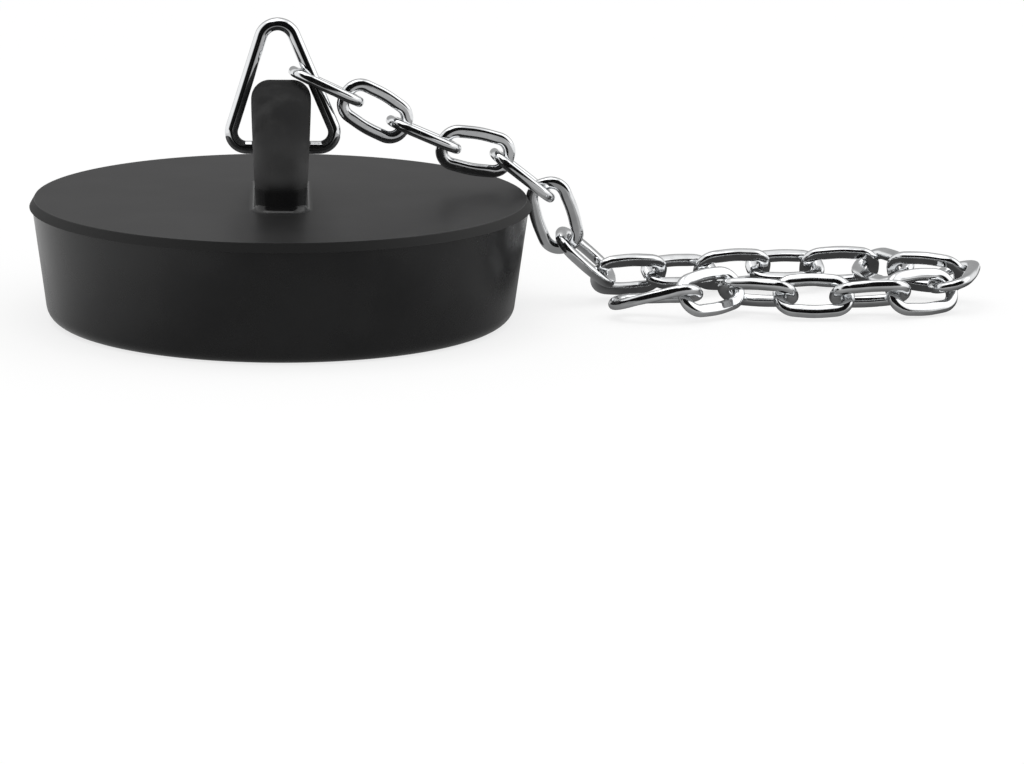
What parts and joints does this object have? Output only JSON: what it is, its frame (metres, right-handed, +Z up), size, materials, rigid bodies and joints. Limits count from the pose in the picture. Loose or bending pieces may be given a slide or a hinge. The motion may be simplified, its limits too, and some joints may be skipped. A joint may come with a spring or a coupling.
{
  "type": "drain stopper",
  "caption": "Tapered black rubber sink plug with a thin lip and an ear on top, a triangle wire ring through the ear and a bright chain of oval wire links.",
  "frame": {"origin": "centre of the plug's flat underside, which stands on the surface", "axes": "+Z up along the plug's axis; +X towards the side where the chain hangs over the rim, along the bar of the triangle ring; +Y away from the viewer of the picture"},
  "size_m": [0.0885, 0.046, 0.0277],
  "materials": {
    "rubber": "moulded, semi-gloss",
    "chrome": "bright plated wire"
  },
  "bodies": {
    "plug_body": {"plug_body": "rubber"},
    "triangle_ring": {"triangle_ring": "chrome"},
    "chain_link_01": {"chain_link_01": "chrome"},
    "chain_link_02": {"chain_link_02": "chrome"},
    "chain_link_03": {"chain_link_03": "chrome"},
    "chain_link_04": {"chain_link_04": "chrome"},
    "chain_link_05": {"chain_link_05": "chrome"},
    "chain_link_06": {"chain_link_06": "chrome"},
    "chain_link_07": {"chain_link_07": "chrome"},
    "chain_link_08": {"chain_link_08": "chrome"},
    "chain_link_09": {"chain_link_09": "chrome"},
    "chain_link_10": {"chain_link_10": "chrome"},
    "chain_link_11": {"chain_link_11": "chrome"},
    "chain_link_12": {"chain_link_12": "chrome"},
    "chain_link_13": {"chain_link_13": "chrome"},
    "chain_link_14": {"chain_link_14": "chrome"},
    "chain_link_15": {"chain_link_15": "chrome"},
    "chain_link_16": {"chain_link_16": "chrome"},
    "chain_link_17": {"chain_link_17": "chrome"},
    "chain_link_18": {"chain_link_18": "chrome"},
    "chain_link_19": {"chain_link_19": "chrome"},
    "chain_link_20": {"chain_link_20": "chrome"},
    "end_link": {"end_link": "chrome"}
  },
  "joints": [
    {"name": "ring_swing", "type": "hinge", "parent": "plug_body", "child": "triangle_ring", "pos_m": [0, 0, 0.01575], "axis": [1, 0, 0], "range_deg": [-5, 25]},
    {"name": "chain_link_01_swing", "type": "hinge", "parent": "triangle_ring", "child": "chain_link_01", "pos_m": [0.00132, -0.00027, 0.02273], "axis": [0.2401, -0.9707, 0], "range_deg": [0, 60]},
    {"name": "chain_link_02_swing", "type": "hinge", "parent": "chain_link_01", "child": "chain_link_02", "pos_m": [0.00596, 0.00087, 0.02053], "axis": [-0.5101, -0.1023, -0.854], "range_deg": [-60, 60]},
    {"name": "chain_link_03_swing", "type": "hinge", "parent": "chain_link_02", "child": "chain_link_03", "pos_m": [0.01028, 0.00209, 0.01781], "axis": [-0.2272, 0.9739, 0], "range_deg": [-60, 0]},
    {"name": "chain_link_04_swing", "type": "hinge", "parent": "chain_link_03", "child": "chain_link_04", "pos_m": [0.01601, 0.00342, 0.01517], "axis": [0.2272, -0.9739, 0], "range_deg": [0, 60]},
    {"name": "chain_link_05_swing", "type": "hinge", "parent": "chain_link_04", "child": "chain_link_05", "pos_m": [0.01989, 0.00427, 0.01434], "axis": [0.1487, -0.9874, -0.0547], "range_deg": [0, 60]},
    {"name": "chain_link_06_swing", "type": "hinge", "parent": "chain_link_05", "child": "chain_link_06", "pos_m": [0.02448, 0.00512, 0.01147], "axis": [-0.9441, 0.1497, -0.2937], "range_deg": [-20, 28]},
    {"name": "chain_link_07_swing", "type": "hinge", "parent": "chain_link_06", "child": "chain_link_07", "pos_m": [0.02648, 0.00578, 0.00538], "axis": [-0.9441, 0.1497, -0.2937], "range_deg": [-45, 60]},
    {"name": "chain_link_08_swing", "type": "hinge", "parent": "chain_link_07", "child": "chain_link_08", "pos_m": [0.0296, 0.00675, 0.00247], "axis": [0.1866, -0.4319, 0.8824], "range_deg": [-15, 40]},
    {"name": "chain_link_09_swing", "type": "hinge", "parent": "chain_link_08", "child": "chain_link_09", "pos_m": [0.03567, 0.00892, 0.00225], "axis": [0.1866, -0.4319, 0.8824], "range_deg": [-20, 75]},
    {"name": "chain_link_10_swing", "type": "hinge", "parent": "chain_link_09", "child": "chain_link_10", "pos_m": [0.03948, 0.01028, 0.00218], "axis": [-0.0851, 0.4301, -0.8987], "range_deg": [-75, 15]},
    {"name": "chain_link_11_swing", "type": "hinge", "parent": "chain_link_10", "child": "chain_link_11", "pos_m": [0.04578, 0.01166, 0.00225], "axis": [-0.0851, 0.4301, -0.8987], "range_deg": [-60, 12]},
    {"name": "chain_link_12_swing", "type": "hinge", "parent": "chain_link_11", "child": "chain_link_12", "pos_m": [0.04979, 0.01232, 0.00216], "axis": [-0.0113, -0.4384, 0.8987], "range_deg": [-8, 60]},
    {"name": "chain_link_13_swing", "type": "hinge", "parent": "chain_link_12", "child": "chain_link_13", "pos_m": [0.05624, 0.01232, 0.00225], "axis": [-0.0113, -0.4384, 0.8987], "range_deg": [-6, 60]},
    {"name": "chain_link_14_swing", "type": "hinge", "parent": "chain_link_13", "child": "chain_link_14", "pos_m": [0.05763, 0.00831, 0.00276], "axis": [0.1711, 0.4699, -0.866], "range_deg": [-65, 6]},
    {"name": "chain_link_15_swing", "type": "hinge", "parent": "chain_link_14", "child": "chain_link_15", "pos_m": [0.06365, 0.00599, 0.00269], "axis": [0.1711, 0.4699, -0.866], "range_deg": [-60, 6]},
    {"name": "chain_link_16_swing", "type": "hinge", "parent": "chain_link_15", "child": "chain_link_16", "pos_m": [0.06229, 0.00194, 0.00214], "axis": [-0.2199, 0.4823, 0.848], "range_deg": [0, 75]},
    {"name": "chain_link_17_swing", "type": "hinge", "parent": "chain_link_16", "child": "chain_link_17", "pos_m": [0.05647, -0.00085, 0.00222], "axis": [-0.2199, 0.4823, 0.848], "range_deg": [-20, 75]},
    {"name": "chain_link_18_swing", "type": "hinge", "parent": "chain_link_17", "child": "chain_link_18", "pos_m": [0.0524, -0.00091, 0.00213], "axis": [0, -0.6691, -0.7431], "range_deg": [-75, 20]},
    {"name": "chain_link_19_swing", "type": "hinge", "parent": "chain_link_18", "child": "chain_link_19", "pos_m": [0.04595, -0.00091, 0.00213], "axis": [0, -0.6691, -0.7431], "range_deg": [-75, 20]},
    {"name": "chain_link_20_swing", "type": "hinge", "parent": "chain_link_19", "child": "chain_link_20", "pos_m": [0.04217, 0.0011, 0.00263], "axis": [-0.3717, 0.42, 0.8279], "range_deg": [-20, 50]},
    {"name": "end_link_swing", "type": "hinge", "parent": "chain_link_20", "child": "end_link", "pos_m": [0.03703, -0.00278, 0.00229], "axis": [-0.3717, 0.42, 0.8279], "range_deg": [-20, 75]}
  ]
}
